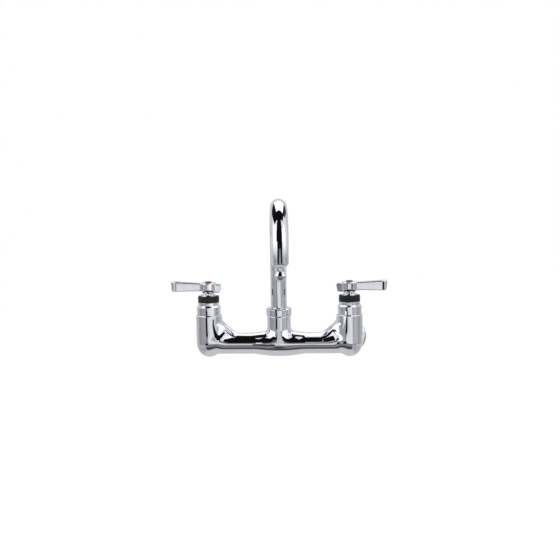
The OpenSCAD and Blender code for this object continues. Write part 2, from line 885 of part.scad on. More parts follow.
body();
inlet_flange(HOT);  // hot_inlet_flange
inlet_flange(COLD);  // cold_inlet_flange
inlet_nut(HOT);  // hot_inlet_nut
inlet_nut(COLD);  // cold_inlet_nut
inlet_washer(HOT);  // hot_inlet_washer
inlet_washer(COLD);  // cold_inlet_washer
bonnet(HOT);  // hot_bonnet
bonnet(COLD);  // cold_bonnet
bonnet_ring(HOT);  // hot_bonnet_ring
bonnet_ring(COLD);  // cold_bonnet_ring
cartridge(HOT);  // hot_cartridge
cartridge(COLD);  // cold_cartridge
cartridge_oring(HOT);  // hot_cartridge_oring
cartridge_oring(COLD);  // cold_cartridge_oring
fixed_disc(HOT);  // hot_fixed_disc
fixed_disc(COLD);  // cold_fixed_disc
seat_seal(HOT);  // hot_seat_seal
seat_seal(COLD);  // cold_seat_seal
glide_washer(HOT);  // hot_glide_washer
glide_washer(COLD);  // cold_glide_washer
stem(HOT);  // hot_stem
stem(COLD);  // cold_stem
moving_disc(HOT);  // hot_moving_disc
moving_disc(COLD);  // cold_moving_disc
stem_orings(HOT);  // hot_stem_orings
stem_orings(COLD);  // cold_stem_orings
handle(HOT);  // hot_handle
handle(COLD);  // cold_handle
handle_screw(HOT);  // hot_handle_screw
handle_screw(COLD);  // cold_handle_screw
index_button(HOT);  // hot_index_button
index_button(COLD);  // cold_index_button
swivel_nut();
swivel_washer();
spout_tube();
spout_base();
spout_orings();
spout_snap_ring();
outlet_tip();
aerator_housing();
aerator_insert();
aerator_screen();
aerator_washer();
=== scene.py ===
"""Looks of a wall-mounted kitchen mixing faucet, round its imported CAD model.

The faucet's lengths are in millimetres until a mesh is made, and the studio's are in
metres. A "rise" is a height above the crossbar's axis. X runs along the wall, -Y points to
the user and Z is up.
"""

import json
import math

import bpy
import numpy as np
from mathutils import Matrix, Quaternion, Vector


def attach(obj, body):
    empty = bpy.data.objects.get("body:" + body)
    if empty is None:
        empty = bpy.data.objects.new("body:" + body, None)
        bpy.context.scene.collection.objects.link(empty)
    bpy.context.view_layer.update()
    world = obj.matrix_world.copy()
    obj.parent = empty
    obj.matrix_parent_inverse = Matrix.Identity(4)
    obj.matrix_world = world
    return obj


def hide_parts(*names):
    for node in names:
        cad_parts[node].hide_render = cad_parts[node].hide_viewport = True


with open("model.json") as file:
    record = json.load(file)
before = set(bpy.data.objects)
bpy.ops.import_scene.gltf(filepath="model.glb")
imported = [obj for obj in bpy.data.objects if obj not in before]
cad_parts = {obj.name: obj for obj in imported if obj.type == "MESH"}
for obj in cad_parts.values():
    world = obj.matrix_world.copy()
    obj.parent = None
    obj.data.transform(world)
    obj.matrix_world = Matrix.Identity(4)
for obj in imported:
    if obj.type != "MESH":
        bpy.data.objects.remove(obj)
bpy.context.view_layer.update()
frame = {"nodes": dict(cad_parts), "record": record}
nodes = frame["nodes"]

MM = 0.001
on_axis_r = 1e-6
HOT = -1
COLD = 1
SIDES = {"hot": HOT, "cold": COLD}

# Layout, as in the CAD model
valve_x = 101.6
wall_reach = 52.0
bar_drop = 2.0
spout_swing = 5.5
lever_turn = {"hot": 180.0, "cold": -4.0}
run_gap = 0.05  # between pieces that fit into each other

# Body casting
barrel_r = 18.8
barrel_rise = 42.2
barrel_drop = 19.5
bar_r = 15.25
swell_r = 18.95
swell_half = 35.0
web_r = 14.0
web_start = (8.5, 23.42)
web_run = 36.2
web_half = 14.6
web_top = 41.5
web_edge = 7.0
web_flat_tilt = 26.0
web_flat_reach = 12.3
web_flat_edge = 6.0
root_fillet = 8.0  # between barrel and web, which fades to rim_fillet at both its ends
rim_fillet = 1.5
root_fade = 14.0
root_foot = -13.5
boss_r = 17.1
boss_rise = 40.5
flare_rise = 20.8
flare_most = 13.0
flare_wide_share = 0.55
flare_deep_share = 0.1
boss_thread_r = 14.4
boss_thread_top = 47.0
tail_r = 15.0
tail_len = 22.0
tail_thread_r = 13.5
tail_end = 30.0

# Water ways
chamber_floor = 14.5
chamber_ledge = 33.5
chamber_r = 12.0
thread_r = 13.5
orifice_r = 6.0
seat_wall = 5.0
lower_chamber_r = 9.5
lower_chamber_drop = 10.0
side_passage_r = 6.1
bar_passage_r = 6.5
bar_passage_half = 65.4
socket_floor = 21.5
inlet_bore_r = 7.2

# Valves
bonnet_r = 17.4
shoulder_rise = 54.0
shoulder_h = 1.9
shoulder_in = 1.95
waist_in = 0.15
waist_rise = 48.5
ring_rise = 60.5
ring_top = 70.1
ring_r = 15.3
neck_r = 12.2
bonnet_top = 71.8
gland_r = 9.0
gland_top = 67.0
skirt_foot = 36.9
stem_hole_r = 4.6

# Handles
hub_rise = 73.2
hub_top = 88.8
hub_h = hub_top - hub_rise
hub_r = 11.2
hub_foot_r = 8.0
hub_cone_h = 3.6
hub_wall_h = 5.2
lever_start = -2.0
lever_reach = 55.0
lever_lean = 2.4
lever_oval = 9.5
lever_root_half = 5.2
lever_end_half = 7.0
lever_root_low = 4.0
lever_root_high = 14.0
lever_end_low = 3.2
lever_end_high = 18.0
stub_reach = 19.4
stub_foot_reach = 16.8
stub_half = 5.25
stub_low = 1.3
stub_high = 13.3
button_r = 4.8
button_seat = 2.0
button_proud = 2.0
stem_bore_r = 4.05
stem_bore_h = 8.4
well_floor_h = 11.1
well_r = 4.2
screw_hole_r = 2.2

# Spout
tube_r = 11.7
tube_bore_r = 10.2
bend_r = 44.45
spout_reach = 2 * bend_r
bend_rise = 153.55
tube_foot = 50.7
outlet_rise = 124.8
nut_r = 18.6
nut_top = 51.8
nut_roof = 2.4

# Outlet and aerator
lip_h = 4.8
lip_foot_r = 8.9
lip_bevel_r = 11.4
lip_bevel_rise = 122.8
collar_top = 119.7
collar_foot = 113.9
collar_r = 7.4
knurl_count = 24
knurl_depth = 0.6
knurl_pitch = 2.4
nozzle_foot = 100.9
nozzle_r = 8.3
aerator_thread_r = 7.0
aerator_thread_top = 126.1

# Inlets, measured back from the valve axis
flange_r = 24.7
flange_front = 43.0
shank_r = 11.5
shank_start = 32.0
shank_lip_r = 12.9
shank_lip_end = 35.0
inlet_nut_af = 33.0
inlet_nut_start = 23.0
inlet_nut_end = 38.0
supply_r = 9.6
supply_start = 38.0


# -------------------------------------------- distance fields

def segment(p, start, end, r):
    """Distance to a round-ended bar of radius r between two points."""
    start = np.array(start, float)
    along = np.array(end, float) - start
    share = np.clip((p - start) @ along / (along @ along), 0, 1)
    return np.linalg.norm(p - start - share[:, None] * along, axis=1) - r


def smooth_min(a, b, fillet):
    """Both shapes joined, with a concave fillet of about that size between them."""
    near = np.maximum(fillet - np.abs(a - b), 0) / fillet
    return np.minimum(a, b) - near * near * fillet / 4


def round_max(a, b, edge):
    """What two shapes have in common, with the edge between them rounded."""
    outside = np.hypot(np.maximum(a + edge, 0), np.maximum(b + edge, 0))
    return outside + np.minimum(np.maximum(a, b) + edge, 0) - edge


def polygon_distance(u, v, corners):
    """Distance to a closed outline in a plane, negative inside."""
    nearest = np.full(u.shape, np.inf)
    inside = np.zeros(u.shape, bool)
    count = len(corners)
    for i in range(count):
        (au, av), (bu, bv) = corners[i - 1], corners[i]
        eu, ev = bu - au, bv - av
        share = np.clip(((u - au) * eu + (v - av) * ev) / (eu * eu + ev * ev), 0, 1)
        nearest = np.minimum(nearest, np.hypot(u - au - share * eu, v - av - share * ev))
        if ev != 0:
            straddles = (av <= v) != (bv <= v)
            inside ^= straddles & (u < au + (v - av) * eu / ev)
    return np.where(inside, -nearest, nearest)


def rounded_polygon(u, v, corners, edge):
    """Distance to a convex outline, given counter-clockwise, with its corners rounded."""
    lines = []
    for i in range(len(corners)):
        (au, av), (bu, bv) = corners[i - 1], corners[i]
        size = math.hypot(bu - au, bv - av)
        out = ((bv - av) / size, -(bu - au) / size)
        lines.append((out, out[0] * au + out[1] * av - edge))
    drawn_in = []
    for i in range(len(lines)):
        (a, da), (b, db) = lines[i - 1], lines[i]
        cross = a[0] * b[1] - a[1] * b[0]
        drawn_in.append(((da * b[1] - db * a[1]) / cross, (a[0] * db - b[0] * da) / cross))
    return polygon_distance(u, v, drawn_in) - edge


# -------------------------------------------- meshes

def surface(distance, low, high, step):
    """Points, quads and normals where a distance field is zero, from a grid of that step."""
    low = np.array(low, float)
    axes = [np.arange(a, b + step, step) for a, b in zip(low, high)]
    grid = np.stack(np.meshgrid(*axes, indexing="ij"), -1)
    value = distance(grid.reshape(-1, 3)).reshape(grid.shape[:3])
    cells = tuple(n - 1 for n in value.shape)
    total = np.zeros(cells + (3,))
    hits = np.zeros(cells)
    crossings = []
    for axis in range(3):
        u, v = (axis + 1) % 3, (axis + 2) % 3
        a = np.delete(value, -1, axis)
        b = np.delete(value, 0, axis)
        cut = (a < 0) != (b < 0)
        edge = np.argwhere(cut)
        spot = edge.astype(float)
        spot[:, axis] += a[cut] / (a[cut] - b[cut])
        around = []
        for du, dv in ((1, 1), (0, 1), (0, 0), (1, 0)):
            cell = edge.copy()
            cell[:, u] -= du
            cell[:, v] -= dv
            around.append(cell)
            np.add.at(total, tuple(cell.T), spot)
            np.add.at(hits, tuple(cell.T), 1)
        crossings.append((around, a[cut] < 0))
    used = hits > 0
    number = np.zeros(cells, int)
    number[used] = np.arange(used.sum())
    quads = []
    for around, leaving in crossings:
        ids = np.stack([number[tuple(cell.T)] for cell in around], 1)
        quads.append(np.where(leaving[:, None], ids, ids[:, ::-1]))
    points = low + total[used] / hits[used][:, None] * step
    points, normals = settle(distance, points, step)
    return points, np.concatenate(quads), normals


def settle(distance, points, step):
    """Moves points onto the surface, and gives the surface's normals there."""
    probe, rounds, least_steep = 0.02, 4, 0.3
    for _ in range(rounds):
        slope = np.stack([distance(points + probe * e) - distance(points - probe * e)
                          for e in np.eye(3)], -1) / (2 * probe)
        steep = np.maximum((slope * slope).sum(1), least_steep)
        move = (distance(points) / steep)[:, None] * slope
        points = points - np.clip(move, -step / 2, step / 2)
    return points, slope / np.linalg.norm(slope, axis=1)[:, None]


def filleted(corners, closed=True):
    """Outline points and outward normals. A corner is (radius, height, fillet), and the
    outline runs counter-clockwise with the radius to the right."""
    least_fillet, small_fillet = 0.12, 0.4
    few_steps, many_steps = 2, 7
    points, normals = [], []
    count = len(corners)
    for i, corner in enumerate(corners):
        here = np.array(corner[:2], float)
        come = here - np.array(corners[i - 1][:2], float)
        go = np.array(corners[(i + 1) % count][:2], float) - here
        if not closed and i in (0, count - 1):
            along = go if i == 0 else come
            along = along / np.linalg.norm(along)
            points.append(here)
            normals.append((along[1], -along[0]))
            continue
        come, go = come / np.linalg.norm(come), go / np.linalg.norm(go)
        turn = math.atan2(come[0] * go[1] - come[1] * go[0], come @ go)
        fillet = corner[2] if len(corner) > 2 else least_fillet
        left = math.copysign(1, turn)
        start = here - come * fillet * abs(math.tan(turn / 2))
        centre = start + left * fillet * np.array([-come[1], come[0]])
        steps = few_steps if fillet < small_fillet else many_steps
        for k in range(steps + 1):
            c, s = math.cos(turn * k / steps), math.sin(turn * k / steps)
            normal = np.array([s * come[0] + c * come[1], s * come[1] - c * come[0]])
            points.append(centre + left * fillet * normal)
            normals.append(normal)
    return np.array(points), np.array(normals)


def spun(corners, closed=True, segments=96, longest=None):
    """Points, faces and normals of an outline spun about the Z axis."""
    outline, outward = filleted(corners, closed)
    if longest:
        outline, outward = subdivided(outline, outward, longest)
    points, normals, rows = [], [], []
    angles = np.arange(segments) * 2 * math.pi / segments
    for (r, z), (nr, nz) in zip(outline, outward):
        ring = angles if r > on_axis_r else angles[:1]
        rows.append((len(points), len(ring)))
        points.extend((r * math.cos(a), r * math.sin(a), z) for a in ring)
        normals.extend((nr * math.cos(a), nr * math.sin(a), nz) if r > on_axis_r else (0, 0, nz)
                       for a in ring)
    faces = []
    pairs = list(zip(rows, rows[1:] + rows[:1])) if closed else list(zip(rows, rows[1:]))
    for (a, count_a), (b, count_b) in pairs:
        for j in range(segments):
            k = (j + 1) % segments
            face = [a + j % count_a, a + k % count_a, b + k % count_b, b + j % count_b]
            faces.append(list(dict.fromkeys(face)))
    return np.array(points), faces, np.array(normals)


def subdivided(outline, outward, longest):
    """The same closed outline with its long steps cut up."""
    points, normals = [], []
    for i in range(len(outline)):
        j = (i + 1) % len(outline)
        pieces = max(1, math.ceil(np.linalg.norm(outline[j] - outline[i]) / longest))
        for k in range(pieces):
            points.append(outline[i] + (outline[j] - outline[i]) * k / pieces)
            normals.append(outward[i] + (outward[j] - outward[i]) * k / pieces)
    return np.array(points), np.array(normals)


def turned_about_z(points, normals, degrees):
    """Points and normals turned about the Z axis."""
    c, s = math.cos(math.radians(degrees)), math.sin(math.radians(degrees))
    matrix = np.array([[c, -s, 0], [s, c, 0], [0, 0, 1]])
    return points @ matrix.T, normals @ matrix.T


def at_swivel(points, normals, x=0.0, turn=0.0):
    """From rises above the bar's axis, round a vertical axis at x, to the object's frame."""
    points, normals = turned_about_z(points, normals, turn)
    return points + np.array([x, -wall_reach, -bar_drop]), normals


def at_tail(points, normals, side):
    """From distances behind a valve's axis to the object's frame."""
    lie_down = np.array([[1, 0, 0], [0, 0, 1], [0, -1, 0]])
    return points @ lie_down.T + np.array([side * valve_x, -wall_reach, 0]), normals @ lie_down.T


def linked(name, data):
    """New object of the scene that holds the data."""
    holder = bpy.data.objects.new(name, data)
    bpy.context.scene.collection.objects.link(holder)
    return holder


def build(name, points, faces, normals, body, slot, replaced):
    """Object from a mesh in millimetres that rides a body and stands for a CAD node."""
    mesh = bpy.data.meshes.new(name)
    faces = faces.tolist() if isinstance(faces, np.ndarray) else faces
    mesh.from_pydata((points * MM).tolist(), [], faces)
    mesh.polygons.foreach_set("use_smooth", [True] * len(mesh.polygons))
    mesh.normals_split_custom_set_from_vertices(normals.tolist())
    piece = linked(name, mesh)
    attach(piece, body)
    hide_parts(replaced)
    piece.data.materials.append(materials[slot])
    return piece


# -------------------------------------------- materials

noise_low, noise_high = 0.3, 0.7  # the middle range that noise mostly keeps to


def node_material(name, metallic=0.0, specular=0.5, coat=0.0):
    """An empty principled material, with its tree, shader and object coordinates."""
    material = bpy.data.materials.new(name)
    material.use_nodes = True
    tree = material.node_tree
    shader = tree.nodes["Principled BSDF"]
    shader.inputs["Metallic"].default_value = metallic
    shader.inputs["Specular IOR Level"].default_value = specular
    shader.inputs["Coat Weight"].default_value = coat
    place = tree.nodes.new("ShaderNodeTexCoord").outputs["Object"]
    return material, tree, shader, place


def noise(tree, place, size_mm, detail=2.0):
    """Noise whose lumps are about size_mm across."""
    texture = tree.nodes.new("ShaderNodeTexNoise")
    texture.inputs["Scale"].default_value = 1 / (size_mm * MM)
    texture.inputs["Detail"].default_value = detail
    tree.links.new(place, texture.inputs["Vector"])
    return texture.outputs["Fac"]


def ramp(tree, value, low, high):
    """Colour between two colours, as noise goes over its middle range."""
    node = tree.nodes.new("ShaderNodeValToRGB")
    node.color_ramp.elements[0].position = noise_low
    node.color_ramp.elements[1].position = noise_high
    node.color_ramp.elements[0].color = (*low, 1)
    node.color_ramp.elements[1].color = (*high, 1)
    tree.links.new(value, node.inputs["Fac"])
    return node.outputs["Color"]


def spread(tree, value, low, high):
    """A number between low and high, as noise goes over its middle range."""
    node = tree.nodes.new("ShaderNodeMapRange")
    node.inputs["From Min"].default_value = noise_low
    node.inputs["From Max"].default_value = noise_high
    node.inputs["To Min"].default_value = low
    node.inputs["To Max"].default_value = high
    tree.links.new(value, node.inputs["Value"])
    return node.outputs["Result"]


def bump(tree, shader, value, height_mm, under=None):
    """Bump of a given height, on top of another bump's normal where one is given."""
    node = tree.nodes.new("ShaderNodeBump")
    node.inputs["Distance"].default_value = height_mm * MM
    tree.links.new(value, node.inputs["Height"])
    if under:
        tree.links.new(under, node.inputs["Normal"])
    tree.links.new(node.outputs["Normal"], shader.inputs["Normal"])
    return node.outputs["Normal"]


def chrome(name, wave_mm, wave_height):
    """Polished chrome plate: slow waves of the metal under it and a faint polishing haze."""
    material, tree, shader, place = node_material(name, metallic=1.0)
    cloud = noise(tree, place, 9)
    tree.links.new(ramp(tree, cloud, (0.715, 0.725, 0.785), (0.755, 0.765, 0.82)),
                   shader.inputs["Base Color"])
    tree.links.new(spread(tree, noise(tree, place, 4, 6), 0.025, 0.065),
                   shader.inputs["Roughness"])
    waves = bump(tree, shader, noise(tree, place, wave_mm, 1), wave_height)
    bump(tree, shader, noise(tree, place, 0.35, 3), 0.0012, waves)
    return material


def plain(name, low, high, grain_mm, rough, height_mm, **shader_values):
    """Material with mottled colour, uneven roughness and a fine grain."""
    material, tree, shader, place = node_material(name, **shader_values)
    tree.links.new(ramp(tree, noise(tree, place, 6 * grain_mm, 3), low, high),
                   shader.inputs["Base Color"])
    tree.links.new(spread(tree, noise(tree, place, 2 * grain_mm, 4), *rough),
                   shader.inputs["Roughness"])
    bump(tree, shader, noise(tree, place, grain_mm, 3), height_mm)
    return material


def lathe_turned(name, low, high, rough):
    """Machined metal with fine turning marks round the Z axis."""
    mark_mm = 1.2
    material, tree, shader, place = node_material(name, metallic=1.0)
    marks = tree.nodes.new("ShaderNodeTexWave")
    marks.wave_type = "BANDS"
    marks.bands_direction = "Z"
    marks.inputs["Scale"].default_value = 1 / (mark_mm * MM)
    marks.inputs["Distortion"].default_value = 1.5
    marks.inputs["Detail"].default_value = 2
    tree.links.new(place, marks.inputs["Vector"])
    tree.links.new(ramp(tree, noise(tree, place, 3, 3), low, high), shader.inputs["Base Color"])
    tree.links.new(spread(tree, noise(tree, place, 1, 4), *rough), shader.inputs["Roughness"])
    bump(tree, shader, marks.outputs["Fac"], 0.01)
    return material


materials = {
    "chrome": chrome("chrome_plate", 16, 0.05),
    "black_ring": plain("black_ring", (0.008, 0.009, 0.009), (0.02, 0.022, 0.022), 0.5,
                        (0.4, 0.55), 0.02, specular=0.25),
    "brass": lathe_turned("machined_brass", (0.62, 0.44, 0.17), (0.74, 0.56, 0.26), (0.2, 0.34)),
    "rubber": plain("seal_rubber", (0.012, 0.012, 0.013), (0.028, 0.028, 0.03), 0.3,
                    (0.5, 0.7), 0.02),
    "ceramic": plain("valve_ceramic", (0.82, 0.8, 0.74), (0.88, 0.87, 0.83), 0.4,
                     (0.12, 0.22), 0.002),
    "steel": lathe_turned("stainless_steel", (0.5, 0.51, 0.53), (0.62, 0.63, 0.65), (0.2, 0.32)),
    "nylon": plain("natural_nylon", (0.76, 0.75, 0.68), (0.84, 0.83, 0.77), 0.5,
                   (0.35, 0.5), 0.01),
    "red_index": plain("red_button", (0.24, 0.035, 0.035), (0.32, 0.055, 0.05), 0.6,
                       (0.25, 0.4), 0.01, coat=0.3),
    "blue_index": plain("blue_button", (0.05, 0.09, 0.2), (0.08, 0.13, 0.27), 0.6,
                        (0.25, 0.4), 0.01, coat=0.3),
}

tube_chrome = chrome("chrome_tube", 26, 0.035)
turned_chrome = chrome("chrome_turned", 20, 0.012)


# -------------------------------------------- body casting

def barrel_distance(x, y, z):
    """Barrel round a valve axis: straight wall, rounded rim, side curve and ball bottom."""
    side_curve_r = 26.0
    curve_z = 2.5
    rim = 1.2
    out = np.hypot(x, y)
    curve_x = barrel_r - side_curve_r
    depth = barrel_drop + curve_z
    ball_r = (depth ** 2 + curve_x ** 2 - side_curve_r ** 2) / (2 * (depth - side_curve_r))
    ball_z = ball_r - barrel_drop
    meet = math.atan2(ball_z - curve_z, -curve_x)
    side = np.where(z > curve_z, out - barrel_r,
                    np.hypot(out - curve_x, z - curve_z) - side_curve_r)
    below = math.cos(meet) * (z - ball_z) - math.sin(meet) * out < 0
    wall = np.where(below, np.hypot(out, z - ball_z) - ball_r, side)
    return round_max(wall, z - barrel_rise, rim)


def upright(x, y, z, r, low, high, edge=0.05):
    """Distance to an upright cylinder between two heights."""
    middle, half = (low + high) / 2, (high - low) / 2
    return round_max(np.hypot(x, y) - r, np.abs(z - middle) - half, edge)


def swollen_bar(x, y, z):
    """Crossbar with its swelling in the middle."""
    blend = 1.2
    sag = swell_r - bar_r
    curve_r = (swell_half ** 2 + sag ** 2) / (2 * sag)
    swelling = np.sqrt(np.maximum(curve_r ** 2 - x ** 2, 0)) - curve_r + swell_r
    return np.hypot(y, z) + smooth_min(-swelling, np.full(x.shape, -bar_r), blend)


def flared_boss(x, y, z):
    """Boss that spreads into an oval foot, much wider along the bar than across it."""
    soft_start = 3.0
    foot = -2.0
    rim = 1.0
    drop = flare_rise - z
    spread_out = np.minimum((drop + np.sqrt(drop ** 2 + soft_start ** 2)) / 2, flare_most)
    wide = boss_r + flare_wide_share * spread_out
    deep = boss_r + flare_deep_share * spread_out
    wall = (np.hypot(x / wide, y / deep) - 1) * deep
    middle, half = (boss_rise + foot) / 2, (boss_rise - foot) / 2
    return round_max(wall, np.abs(z - middle) - half, rim)


def sloping_web(x, y, z):
    """Thick web from the barrel down to the bar, with a broad flat along each upper edge."""
    start_x, start_z = valve_x - web_start[0], web_start[1]
    foot_x = valve_x - web_run
    inner_foot_x, inner_end_x = foot_x - 3, foot_x - 10
    barrel_x = valve_x - barrel_r
    size = math.hypot(start_x - foot_x, start_z)
    over = (start_z * (foot_x - x) + (start_x - foot_x) * z) / size
    slope = (start_x - foot_x) / start_z
    top_x = foot_x + slope * web_top - web_r * size / start_z
    outline = [(inner_foot_x, 0), (valve_x, 0), (valve_x, web_top), (barrel_x, web_top),
               (barrel_x, (barrel_x - top_x) / slope + web_top),
               (inner_end_x, (inner_end_x - top_x) / slope + web_top)]
    side = polygon_distance(x, z, outline)
    tilt = math.radians(web_flat_tilt)
    flat = math.sin(tilt) * over + math.cos(tilt) * np.abs(y) - web_flat_reach
    plate = round_max(side, np.abs(y) - web_half, web_edge)
    return round_max(plate, flat, web_flat_edge)


def water_ways(x, y, z, p):
    """Distance to everything that is hollow in one half of the casting."""
    lap = 1  # how far a hollow reaches into the next one
    past_end = 5  # how far it reaches out of the casting
    bx = x - valve_x
    start_x = valve_x - web_start[0]
    hollows = [
        upright(bx, y, z, thread_r, chamber_ledge, barrel_rise + past_end),
        upright(bx, y, z, chamber_r, chamber_floor, chamber_ledge + lap),
        upright(bx, y, z, orifice_r, chamber_floor - seat_wall - lap, chamber_floor + lap),
        upright(bx, y, z, lower_chamber_r, -lower_chamber_drop, chamber_floor - seat_wall),
        segment(p, (start_x, 0, web_start[1]), (valve_x - web_run, 0, 0), side_passage_r),
        np.maximum(np.hypot(y, z) - bar_passage_r, x - bar_passage_half),
        upright(x, y, z, tube_r + run_gap, socket_floor, boss_thread_top + past_end),
        upright(x, y, z, side_passage_r, 0, socket_floor + lap),
        np.maximum(np.hypot(bx, z - bar_drop) - inlet_bore_r, -y),
    ]
    return np.minimum.reduce(hollows)


def casting_distance(points):
    """The whole body casting, in one half that is mirrored to the other."""
    boss_fillet, web_fillet, tail_fillet = 3, 4, 3
    thread_lap, thread_edge, tail_thread_edge = 2, 0.4, 0.6
    p = np.column_stack([np.abs(points[:, 0]), points[:, 1], points[:, 2]])
    x, y, z = p.T
    bx = x - valve_x
    bar = np.maximum(swollen_bar(x, y, z), bx)
    barrel = barrel_distance(bx, y, z)
    web = sloping_web(x, y, z)
    boss = flared_boss(x, y, z)
    thread = upright(x, y, z, boss_thread_r, boss_rise - thread_lap, boss_thread_top,
                     thread_edge)
    from_inlet = np.hypot(bx, z - bar_drop)
    tail = np.maximum(from_inlet - tail_r, y - tail_len)
    tail_thread = round_max(from_inlet - tail_thread_r, y - tail_end, tail_thread_edge)
    tail = np.maximum(np.minimum(tail, tail_thread), -y)
    solid = smooth_min(bar, boss, boss_fillet)
    solid = smooth_min(solid, web, web_fillet)
    root_share = np.clip(np.minimum(web_top - z, z - root_foot) / root_fade, 0, 1)
    solid = smooth_min(solid, barrel, rim_fillet + (root_fillet - rim_fillet) * root_share)
    solid = smooth_min(solid, tail, tail_fillet)
    solid = np.minimum(solid, thread)
    return np.maximum(solid, -water_ways(x, y, z, p))


def make_casting():
    """Body casting, from its distance field."""
    margin = 2.0
    low = (-valve_x - barrel_r - margin, -swell_r - margin, -barrel_drop - margin)
    high = (valve_x + barrel_r + margin, tail_end + margin, boss_thread_top + margin)
    points, faces, normals = surface(casting_distance, low, high, step=0.95)
    points, normals = at_swivel(points, normals)
    build("body_casting", points, faces, normals, "fixed_body", "chrome", "body")


# -------------------------------------------- handles

def lever_plan(x, y):
    """Distance to the lever's top view: sides that spread to an oval end."""
    oval_start = lever_reach - lever_oval
    share = np.clip((x - lever_start) / (oval_start - lever_start), 0, 1)
    half = lever_root_half + (lever_end_half - lever_root_half) * share
    past = np.maximum(x - oval_start, 0) / lever_oval
    return (np.hypot(past, y / half) - 1) * half


def handle_distance(points):
    """Hub with a lever along +X and a stub along -X, above the hub's foot."""
    hub_edge, lever_side_edge, lever_edge = 1.6, 2.4, 1.1
    stub_side_edge, stub_top_edge, stub_edge = 2.0, 2.2, 1.2
    fillet = 2.0
    stub_root = 2.0
    past_end = 2  # how far the holes reach out of the handle
    x, y, z = points.T
    hub_side = [(-hub_r, 0), (hub_foot_r, 0), (hub_r - 1, hub_cone_h), (hub_r, hub_wall_h),
                (hub_r, hub_h), (-hub_r, hub_h)]
    hub = rounded_polygon(np.hypot(x, y), z, hub_side, hub_edge)
    lever_side = [(lever_start, lever_root_low), (lever_reach - lever_lean, lever_end_low),
                  (lever_reach, lever_end_high), (lever_start, lever_root_high)]
    lever = round_max(rounded_polygon(x, z, lever_side, lever_side_edge), lever_plan(x, y),
                      lever_edge)
    stub_side = [(-stub_reach, stub_high), (-stub_foot_reach, stub_low), (stub_root, stub_low),
                 (stub_root, stub_high)]
    stub_top = [(-stub_reach, stub_half), (-stub_reach, -stub_half), (stub_root, -stub_half),
                (stub_root, stub_half)]
    stub = round_max(rounded_polygon(x, z, stub_side, stub_side_edge),
                     rounded_polygon(x, y, stub_top, stub_top_edge), stub_edge)
    solid = smooth_min(smooth_min(hub, lever, fillet), stub, fillet)
    hollow = np.minimum.reduce([
        upright(x, y, z, stem_bore_r, -past_end, stem_bore_h),
        upright(x, y, z, screw_hole_r, 0, hub_h),
        upright(x, y, z, well_r, well_floor_h, hub_h + past_end),
        upright(x, y, z, button_r + run_gap, hub_h - button_seat, hub_h + past_end),
    ])
    return np.maximum(solid, -hollow)


def make_handles():
    """Both handles from one mesh, each turned as in the photograph."""
    low, high = (-22, -13, -2), (58, 13, 20)
    points, faces, normals = surface(handle_distance, low, high, step=0.62)
    points = points + np.array([0, 0, hub_rise])
    for name, side in SIDES.items():
        placed = at_swivel(points, normals, side * valve_x, lever_turn[name])
        build(f"{name}_lever_handle", placed[0], faces, placed[1], f"{name}_lever", "chrome",
              f"{name}_handle")


# -------------------------------------------- turned pieces

def turned_piece(name, corners, body, slot, replaced, x=0.0, turn=0.0, reach=0.0, closed=True):
    """Piece turned about an upright axis: the valve axis at x, or the outlet at a reach. Its
    chrome has the slighter waves of turned metal."""
    points, faces, normals = spun(corners, closed)
    points = points - np.array([0, reach, 0])
    points, normals = at_swivel(points, normals, x, turn)
    piece = build(name, points, faces, normals, body, slot, replaced)
    if slot == "chrome":
        piece.data.materials[0] = turned_chrome


def make_bonnets():
    """Bonnets: threaded skirt, slightly waisted wall, shoulder, neck and gland."""
    skirt_r = thread_r - run_gap
    corners = [(gland_r, skirt_foot), (skirt_r, skirt_foot), (skirt_r, barrel_rise),
               (bonnet_r - waist_in, barrel_rise, 0.3), (bonnet_r, waist_rise, 9.0),
               (bonnet_r, shoulder_rise, 1.2),
               (bonnet_r - shoulder_in, shoulder_rise + shoulder_h, 0.8),
               (ring_r, ring_rise, 0.4), (neck_r, ring_rise), (neck_r, bonnet_top, 2.6),
               (stem_hole_r, bonnet_top, 0.3), (stem_hole_r, gland_top), (gland_r, gland_top)]
    for name, side in SIDES.items():
        turned_piece(f"{name}_domed_bonnet", corners, "fixed_body", "chrome", f"{name}_bonnet",
                     x=side * valve_x)


def make_rings():
    """Black rings round the bonnets' necks."""
    bore_r = neck_r + run_gap
    corners = [(bore_r, ring_rise), (ring_r, ring_rise, 0.5), (ring_r, ring_top, 2.2),
               (bore_r, ring_top, 0.2)]
    for name, side in SIDES.items():
        turned_piece(f"{name}_black_ring", corners, "fixed_body", "black_ring",
                     f"{name}_bonnet_ring", x=side * valve_x)


def make_buttons():
    """Crowned colour buttons, red on the hot side and blue on the cold."""
    crown = 0.3
    foot, top = hub_top - button_seat, hub_top + button_proud
    corners = [(0, foot), (button_r, foot), (button_r, top - crown, 1.0), (0, top)]
    for name, side in SIDES.items():
        slot = "red_index" if side == HOT else "blue_index"
        turned_piece(f"{name}_colour_button", corners, f"{name}_lever", slot,
                     f"{name}_index_button", x=side * valve_x, closed=False)


def make_swivel_nut():
    """Round nut with chamfers at foot and top, and a roof that holds the spout down."""
    foot_chamfer, top_chamfer = 0.8, 1.6
    bore_r, hole_r = boss_thread_r + run_gap, tube_r + 2 * run_gap
    corners = [(bore_r, boss_rise), (nut_r - foot_chamfer, boss_rise, 0.3),
               (nut_r, boss_rise + foot_chamfer, 0.4), (nut_r, nut_top - top_chamfer, 1.5),
               (nut_r - top_chamfer, nut_top, 1.2), (hole_r, nut_top, 0.3),
               (hole_r, nut_top - nut_roof), (bore_r, nut_top - nut_roof)]
    turned_piece("swivel_lock_nut", corners, "fixed_body", "chrome", "swivel_nut")


